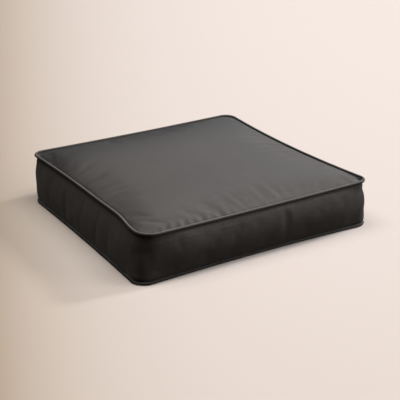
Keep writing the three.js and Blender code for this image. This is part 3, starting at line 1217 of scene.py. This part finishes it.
def canvas(name, turn, extra_colour, extra_height):
    """A dyed canvas; the extras add what only one of the two cloths has."""
    material = bpy.data.materials.new(name)
    material.use_nodes = True
    tree = material.node_tree
    shader = tree.nodes["Principled BSDF"]
    add = nodes_of(tree)
    sums = calculator(add)

    def group(kind, **sockets):
        return add("ShaderNodeGroup", {"node_tree": kind}, **sockets).outputs

    place = add("ShaderNodeTexCoord").outputs["Object"]
    cloth = add("ShaderNodeUVMap", {"uv_map": "weave"}).outputs["UV"]
    weave = group(PLAIN_WEAVE, Cloth=cloth, Yarn=YARN, Turn=turn, Wander=YARN_WANDER)
    dents = group(FAINT_DENTS, Place=place, Size=DENT_SIZE)
    dye = group(FADED_DYE, Place=place, Patch=PATCH, Fleck=FLECK)
    tone = sums("MULTIPLY_ADD", weave["Tone"], TONE_OF_YARN, MIDDLE_TONE)
    # The weave's height shifts its tone: painted shade in the hollows between the yarns and a
    # little painted highlight on their tops.
    raised = sums("SUBTRACT", weave["Height"], LEVEL_HEIGHT)
    tone = sums("MULTIPLY_ADD", raised, SHADE_OF_WEAVE_HEIGHT, tone)
    tone = sums("MULTIPLY_ADD", dye["Patches"], TONE_OF_PATCH, tone)
    tone = sums("MULTIPLY_ADD", dye["Flecks"], TONE_OF_FLECK, tone)
    colour = extra_colour(add, sums, group, mixed(add, tone, DARK_DYE, PALE_DYE))
    rough = sums("MULTIPLY_ADD", weave["Tone"], ROUGHNESS_OF_YARN, ROUGHNESS)
    height = sums("MULTIPLY", weave["Height"], YARN_RELIEF)
    height = sums("MULTIPLY_ADD", dents["Height"], DENT_RELIEF, height)
    height = extra_height(add, sums, group, height)
    bump = add("ShaderNodeBump", Height=height, Distance=1.0, Strength=1.0).outputs[0]
    tree.links.new(colour, shader.inputs["Base Color"])
    tree.links.new(rough, shader.inputs["Roughness"])
    tree.links.new(bump, shader.inputs["Normal"])
    shader.inputs["Specular IOR Level"].default_value = SPECULAR
    shader.inputs["Sheen Weight"].default_value = SHEEN
    shader.inputs["Sheen Roughness"].default_value = SHEEN_ROUGHNESS
    return material


# %% [markdown]
# The cover has ripples, the allowance's line, painted shade in its grooves and painted
# shade in the places listed further down. The welt has a painted highlight on its crest,
# painted shade on its sides, and small creases across it. It is cut on the bias, so its
# weave is turned by an eighth of a turn.

# %% The two cloths
# The first colour is a painted highlight for the welts' crests, the second is painted shade for the
# grooves, the welts' sides and the cover's shaded places.
PAINTED_HIGHLIGHT_COLOUR = (0.34, 0.315, 0.295, 1)
PAINTED_SHADE_COLOUR = (0.009, 0.007, 0.006, 1)
GROOVE_SHADE_REACH, GROOVE_SHADE_SHARE = 6 * MM, 0.85
RIPPLE_SPACING, RIPPLE_REACH, RIPPLE_RELIEF = 8 * MM, 17 * MM, 1.6 * MM
ALLOWANCE_DOWN, ALLOWANCE_WIDTH, ALLOWANCE_RELIEF = 15.5 * MM, 1.7 * MM, 0.3 * MM
WELT_CREASES = (220.0, 60.0, 0.0)                           # a metre, along it and round it
WELT_CREASE_RELIEF = 0.5 * MM


def cover_colour(add, sums, group, colour):
    """Painted shade where the cover's attribute asks for it, and down in the grooves."""
    painted_shade = add("ShaderNodeAttribute", {"attribute_name": "deep_dye"}).outputs["Fac"]
    colour = mixed(add, painted_shade, colour, PAINTED_SHADE_COLOUR)
    by_seam = add("ShaderNodeUVMap", {"uv_map": "by_seam"}).outputs["UV"]
    dirt = group(PAINTED_GROOVE_SHADE, By_Seam=by_seam, Reach=GROOVE_SHADE_REACH)["Dirt"]
    return mixed(add, sums("MULTIPLY", dirt, GROOVE_SHADE_SHARE), colour, PAINTED_SHADE_COLOUR)


def cover_height(add, sums, group, height):
    """Ripples beside the seams, and the allowance's line."""
    by_seam = add("ShaderNodeUVMap", {"uv_map": "by_seam"}).outputs["UV"]
    ripples = group(SEAM_RIPPLES, By_Seam=by_seam, Spacing=RIPPLE_SPACING, Reach=RIPPLE_REACH)
    height = sums("MULTIPLY_ADD", ripples["Height"], RIPPLE_RELIEF, height)
    line = group(ALLOWANCE_LINE, By_Seam=by_seam, Down=ALLOWANCE_DOWN, Width=ALLOWANCE_WIDTH)
    return sums("MULTIPLY_ADD", line["Height"], ALLOWANCE_RELIEF, height)


def welt_colour(add, sums, group, colour):
    """Painted highlight where the attribute is over 0, painted shade where it is under 0."""
    worn = add("ShaderNodeAttribute", {"attribute_name": "worn"}).outputs["Fac"]
    colour = mixed(add, worn, colour, PAINTED_HIGHLIGHT_COLOUR)
    return mixed(add, sums("MULTIPLY", worn, -1.0), colour, PAINTED_SHADE_COLOUR)


def welt_height(add, sums, group, height):
    """Small creases across the cord, where its strip of cloth goes round."""
    cloth = add("ShaderNodeUVMap", {"uv_map": "weave"}).outputs["UV"]
    stretched = add("ShaderNodeVectorMath", {"operation": "MULTIPLY"}, _0=cloth,
                    _1=WELT_CREASES).outputs[0]
    noise = add("ShaderNodeTexNoise", Vector=stretched, Scale=1.0, Detail=1.0).outputs[0]
    return sums("MULTIPLY_ADD", noise, WELT_CREASE_RELIEF, height)


cover_cloth = canvas("charcoal_canvas", 0.0, cover_colour, cover_height)
welt_cloth = canvas("charcoal_canvas_on_the_bias", math.pi / 4, welt_colour, welt_height)

# %% [markdown]
# Parts of the cover are painted darker as shade: the strip along the back seam, a narrower
# one along the left side, the dents at two corners and the fold in the front corner's lower
# half. These places belong to this cushion's shape, so they are worked out for its points
# and written as an attribute, which the cloth's material reads.

# %% Where the cover gets painted shade
SHADE_FULL_TO, SHADE_GONE_FROM = 40 * MM, 190 * MM                     # from the back seam
SHADE_AT_LEFT = (6 * MM, 42 * MM, 0.6)                       # full to, faded from, its share
LEFT_STRIP = (-200 * MM, -20 * MM)                          # where that strip starts and is full
SHADE_SHARE = 0.9
SHADE_FOR_A_DENT = 0.1      # for each millimetre of its depth
TOP_PANEL = (TOP_SEAM_Z - 6 * MM, TOP_SEAM_Z - 1 * MM)
FOLD_WIDTH, FOLD_SHARE = 9 * MM, 0.7
FOLD_HEIGHT = (20 * MM, 75 * MM)


def write_painted_shade(mesh):
    """Write how much painted shade each point of the cover gets."""
    points = mesh_points(mesh)
    from_back = distance_to_line(points, top_lines[BACK])[0]
    from_left = distance_to_line(points, top_lines[LEFT])[0]
    full_to, faded_from, share = SHADE_AT_LEFT
    at_left = share * (1 - smooth_step(from_left, full_to, faded_from))
    painted_shade = 1 - smooth_step(from_back, SHADE_FULL_TO, SHADE_GONE_FROM)
    painted_shade += at_left * smooth_step(points[:, 1], *LEFT_STRIP)
    for dent in LEFT_DENTS + RIGHT_DENTS:
        painted_shade += SHADE_FOR_A_DENT * dent.depth * depth_in(points, dent)
    painted_shade = SHADE_SHARE * painted_shade.clip(0, 1) * smooth_step(points[:, 2], *TOP_PANEL)
    from_fold = np.hypot(*(points[:, :2] - bottom_seam[0, :2]).T) / FOLD_WIDTH
    painted_shade += FOLD_SHARE * np.exp(-from_fold ** 2) * (1 - smooth_step(points[:, 2], *FOLD_HEIGHT))
    layer = mesh.attributes.new("deep_dye", "FLOAT", "POINT")
    layer.data.foreach_set("value", painted_shade.astype(np.float32))
    print(f"deep dye on {(painted_shade > 0.1).mean():.0%} of the points")


write_painted_shade(cover_mesh)

# %% [markdown]
# ## Into the frame
# The welts are swept now that their cloth is there. Then each piece is tied to the rigid
# body that it moves with, and the plain solids that the pieces stand for are hidden.

# %% Give every piece its cloth and its place in the frame
WELT_TREE = welt_tree()
# Painted highlight on the top welt's front and left sides, painted shade on its right and back
# sides and all along the bottom welt.
LIGHT_OF_TOP_WELT = ((0, 0.46), (0.9, 0.44), (0.97, 0.2), (1, -0.3), (1.3, -0.15), (2.9, -0.15),
                    (3, -0.1), (3.04, 0.4), (4, 0.46))
LIGHT_OF_BOTTOM_WELT = ((0, -0.8), (0.3, -0.5), (1, -0.35), (2, -0.5), (3, -0.5), (4, -0.8))
top_welt = welt("welt_of_top_seam", ring(top_line, 0, 0, WELT_CELLS), WELT_TREE, welt_cloth,
                3, LIGHT_OF_TOP_WELT)
bottom_welt = welt("welt_of_bottom_seam", ring(bottom_line, 0, 0, WELT_CELLS), WELT_TREE,
                   welt_cloth, 8, LIGHT_OF_BOTTOM_WELT)
cover.data.materials.append(cover_cloth)
for piece in (cover, top_welt, bottom_welt):
    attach(piece, "root")
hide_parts("cushion_body", "top_panel", "bottom_panel")
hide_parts("top_welt")
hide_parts("bottom_welt")

# %% [markdown]
# ## Floor and light
# The photo's floor is a pale sheet that darkens towards its left edge. Its colour for the
# camera and its colour for light that bounces off it are two different things here: the
# bounce is darker, so that the cushion's sides stay as deep as they are in the photo.

# %% Pale floor
FLOOR_HALF = 6.0
VIEW_AZIMUTH = math.radians(32.18)                          # the camera's, from +Y towards +X
FLOOR_PALE = (0.900, 0.826, 0.804, 1)
FLOOR_SHADED = (0.467, 0.383, 0.296, 1)
FLOOR_BOUNCE = (0.065, 0.06, 0.055, 1)
SIDEWAYS = (math.cos(VIEW_AZIMUTH), -math.sin(VIEW_AZIMUTH), 0)
AHEAD = (math.sin(VIEW_AZIMUTH), math.cos(VIEW_AZIMUTH), 0)
floor_mesh = bpy.data.meshes.new("floor")
floor_mesh.from_pydata([(-FLOOR_HALF, -FLOOR_HALF, 0), (FLOOR_HALF, -FLOOR_HALF, 0),
                        (FLOOR_HALF, FLOOR_HALF, 0), (-FLOOR_HALF, FLOOR_HALF, 0)],
                       [], [(0, 1, 2, 3)])
floor = bpy.data.objects.new("floor", floor_mesh)
bpy.context.scene.collection.objects.link(floor)
floor_finish = bpy.data.materials.new("pale_floor")
floor_finish.use_nodes = True
floor_shader = floor_finish.node_tree.nodes["Principled BSDF"]
floor_add = nodes_of(floor_finish.node_tree)
floor_sums = calculator(floor_add)
floor_place = floor_add("ShaderNodeTexCoord").outputs["Object"]
sideways, ahead = (floor_add("ShaderNodeVectorMath", {"operation": "DOT_PRODUCT"}, _0=floor_place,
                             _1=way).outputs["Value"] for way in (SIDEWAYS, AHEAD))
# The floor's colour darkens towards its left edge and towards the front: painted shade where the
# studio light falls off.
spread = floor_sums("MAXIMUM", floor_sums("MULTIPLY_ADD", ahead, 0.86, 2.08), 1.2)
fan = floor_sums("DIVIDE", floor_sums("SUBTRACT", sideways, 0.014), spread)
at_left = floor_sums("MULTIPLY", floor_sums("EXPONENT", floor_sums("MULTIPLY", fan, -10.6)), 0.089)
in_front = floor_sums("EXPONENT", floor_sums("DIVIDE", floor_sums("ADD", ahead, 0.67), -0.9))
shade = floor_sums("MULTIPLY_ADD", in_front, 0.24, at_left)
seen = floor_add("ShaderNodeMix", {"data_type": "RGBA", "clamp_factor": True}, _0=shade,
                 _6=FLOOR_PALE, _7=FLOOR_SHADED).outputs[2]
to_camera = floor_add("ShaderNodeLightPath").outputs["Is Camera Ray"]
floor_colour = floor_add("ShaderNodeMix", {"data_type": "RGBA"}, _0=to_camera, _6=FLOOR_BOUNCE,
                         _7=seen).outputs[2]
floor_finish.node_tree.links.new(floor_colour, floor_shader.inputs["Base Color"])
floor_shader.inputs["Roughness"].default_value = 0.9
floor_shader.inputs["Specular IOR Level"].default_value = 0.1
floor_mesh.materials.append(floor_finish)

# %% [markdown]
# ## Light
# Five soft suns stand for the studio's lamps, with their angles in degrees from +X
# towards +Y. The window behind the cushion gives the top its sheen. It casts no shadow,
# because the photo's floor shows none of it in front of the cushion.

# %% Studio light
Lamp = namedtuple("Lamp", "name azimuth elevation spread strength tint shadow")
LAMPS = (
    Lamp("key", 354, 33, 8, 0.94, (0.98, 0.97, 0.98), True),
    Lamp("window", 42, 28, 24, 0.80, (0.95, 0.97, 1), False),
    Lamp("overhead_in_front", 316, 66, 40, 1.22, (1, 0.965, 0.93), True),
    Lamp("overhead_at_the_left", 165, 70, 40, 1.15, (1, 0.94, 0.86), True),
    Lamp("low_in_front", 322, 16, 30, 0.74, (1, 0.93, 0.86), True),
)
for lamp in LAMPS:
    sun = bpy.data.lights.new(lamp.name, "SUN")
    sun.energy = lamp.strength
    sun.angle = math.radians(lamp.spread)
    sun.color = lamp.tint
    sun.use_shadow = lamp.shadow
    holder = bpy.data.objects.new(lamp.name, sun)
    azimuth, elevation = math.radians(lamp.azimuth), math.radians(lamp.elevation)
    towards = Vector((math.cos(azimuth) * math.cos(elevation),
                      math.sin(azimuth) * math.cos(elevation), math.sin(elevation)))
    holder.rotation_euler = towards.to_track_quat("Z", "Y").to_euler()
    bpy.context.scene.collection.objects.link(holder)
world = bpy.data.worlds.new("studio")
world.use_nodes = True
world.node_tree.nodes["Background"].inputs["Color"].default_value = (1, 0.95, 0.92, 1)
world.node_tree.nodes["Background"].inputs["Strength"].default_value = 0.01
bpy.context.scene.world = world
bpy.context.scene.view_settings.view_transform = "Standard"

# %% [markdown]
# ## Camera
# The camera looks from the photo's angle. Its place and lens come from fitting the two
# seams to the photo, so they are given in sides of the cushion and in pixels of a frame
# that is 400 pixels wide.

# %% Camera
ELEVATION = math.radians(22.57)
CAMERA_DISTANCE = 4.125 * SIDE
SENSOR, FRAME_PIXELS, FOCAL_PIXELS = 36, 400, 1009.9
LOOK = Vector((AHEAD[0] * math.cos(ELEVATION), AHEAD[1] * math.cos(ELEVATION),
               -math.sin(ELEVATION)))
ACROSS = Vector(SIDEWAYS)
UP = ACROSS.cross(LOOK)
AIM = Vector((0, 0, 0.1 * SIDE)) + ACROSS * 0.0282 * SIDE - UP * 0.0469 * SIDE
camera_data = bpy.data.cameras.new("camera")
camera_data.lens = SENSOR * FOCAL_PIXELS / FRAME_PIXELS
camera = bpy.data.objects.new("camera", camera_data)
camera.location = AIM - LOOK * CAMERA_DISTANCE
camera.rotation_euler = LOOK.to_track_quat("-Z", "Y").to_euler()
bpy.context.scene.collection.objects.link(camera)
bpy.context.scene.camera = camera
print(f"camera {CAMERA_DISTANCE:.2f} m away, lens {camera_data.lens:.0f} mm")
